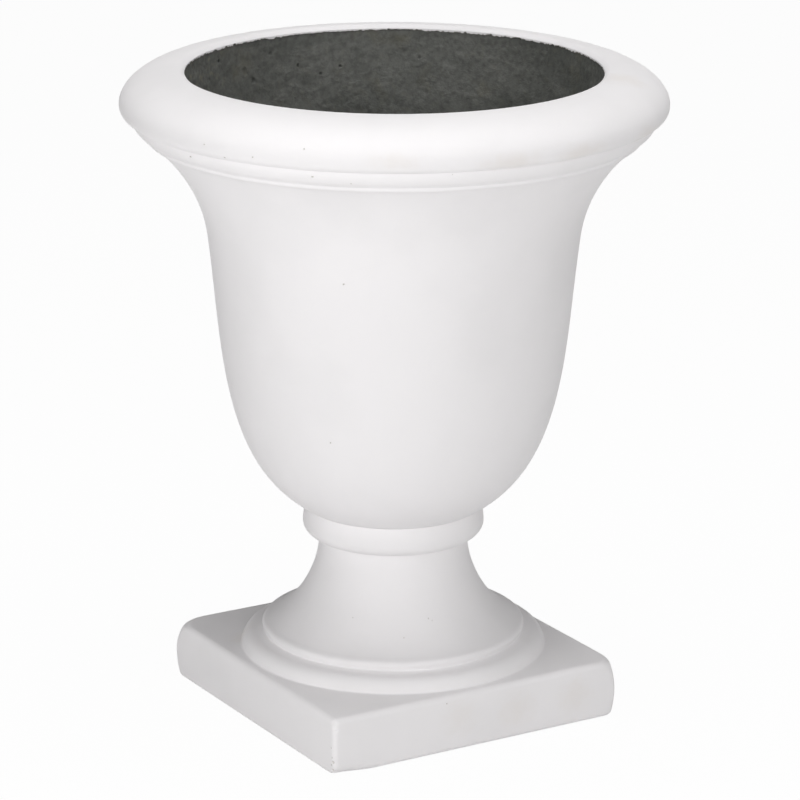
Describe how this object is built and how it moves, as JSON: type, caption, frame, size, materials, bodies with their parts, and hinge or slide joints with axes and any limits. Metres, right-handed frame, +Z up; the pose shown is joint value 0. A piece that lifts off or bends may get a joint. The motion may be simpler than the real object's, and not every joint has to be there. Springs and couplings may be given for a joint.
{
  "type": "urn planter",
  "caption": "Classical urn planter: a bell-shaped bowl with a rolled rim, bolted to a turned pedestal on a square plinth, with a rubber plug in its drain hole.",
  "frame": {"origin": "middle of the plinth's underside, on the floor", "axes": "+Z up along the turned axis; the plinth's sides run along X and Y, and the drain hole lies on the +X side of the bolt"},
  "size_m": [0.5, 0.5, 0.61],
  "materials": {
    "face_layer": "matt white cement face, fine grained, with a few pinholes",
    "raw_backing": "raw, hand-trowelled fibre cement, dark greenish grey",
    "seal_rubber": "matt black rubber",
    "plug_rubber": "moulded black rubber",
    "fixing_steel": "zinc-plated steel"
  },
  "bodies": {
    "planter": {"bowl_face": "face_layer", "bowl_backing": "raw_backing", "pedestal_face": "face_layer", "pedestal_backing": "raw_backing", "seat_seal": "seal_rubber", "centre_bolt": "fixing_steel", "bolt_seal": "seal_rubber", "bolt_washer": "fixing_steel", "deck_washer": "fixing_steel", "clamp_nut": "fixing_steel"},
    "plug": {"drain_plug": "plug_rubber"}
  },
  "joints": [
    {"name": "plug_lift", "type": "slide", "parent": "planter", "child": "plug", "axis": [0, 0, 1], "range_m": [0, 0.44]}
  ]
}
